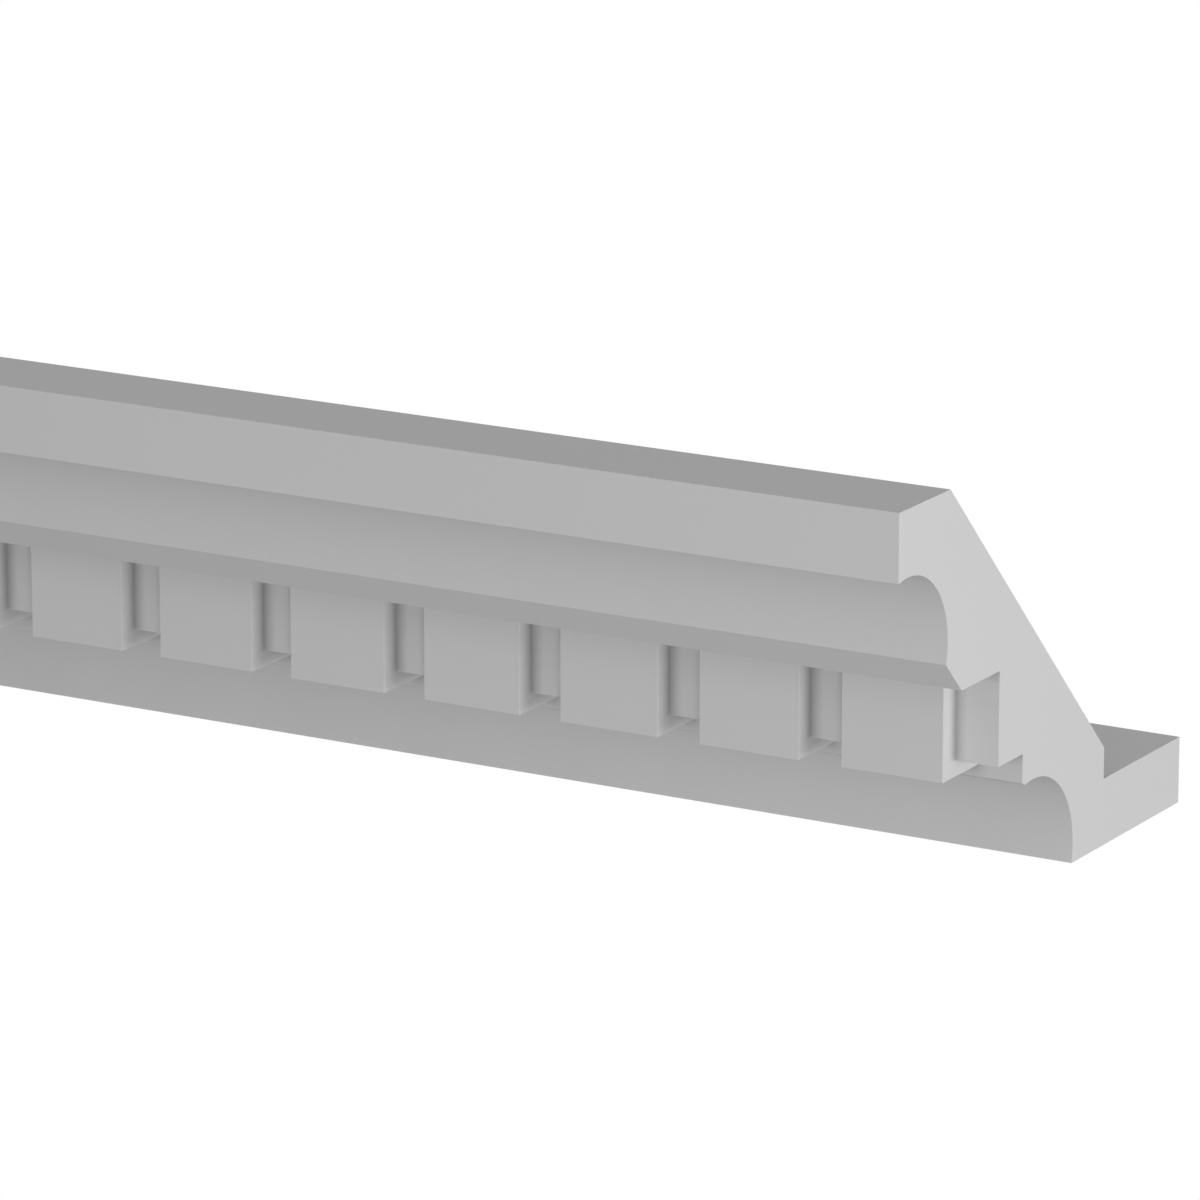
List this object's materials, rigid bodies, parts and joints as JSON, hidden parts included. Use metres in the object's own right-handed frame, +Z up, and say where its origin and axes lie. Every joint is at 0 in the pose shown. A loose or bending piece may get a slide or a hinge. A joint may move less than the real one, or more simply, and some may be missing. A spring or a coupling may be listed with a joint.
{
  "type": "crown moulding",
  "caption": "Straight length of crown moulding with a row of dentil blocks between two hollow coves, cut square at both ends.",
  "frame": {"origin": "middle of the foot's back face, which lies against the wall", "axes": "+X along the length, +Y into the wall, +Z up towards the ceiling"},
  "size_m": [0.9928, 0.1133, 0.0812],
  "materials": {
    "primed_finish": "even coat of matte light grey primer on smooth timber"
  },
  "bodies": {
    "root": {"crown_moulding": "primed_finish"}
  },
  "joints": []
}
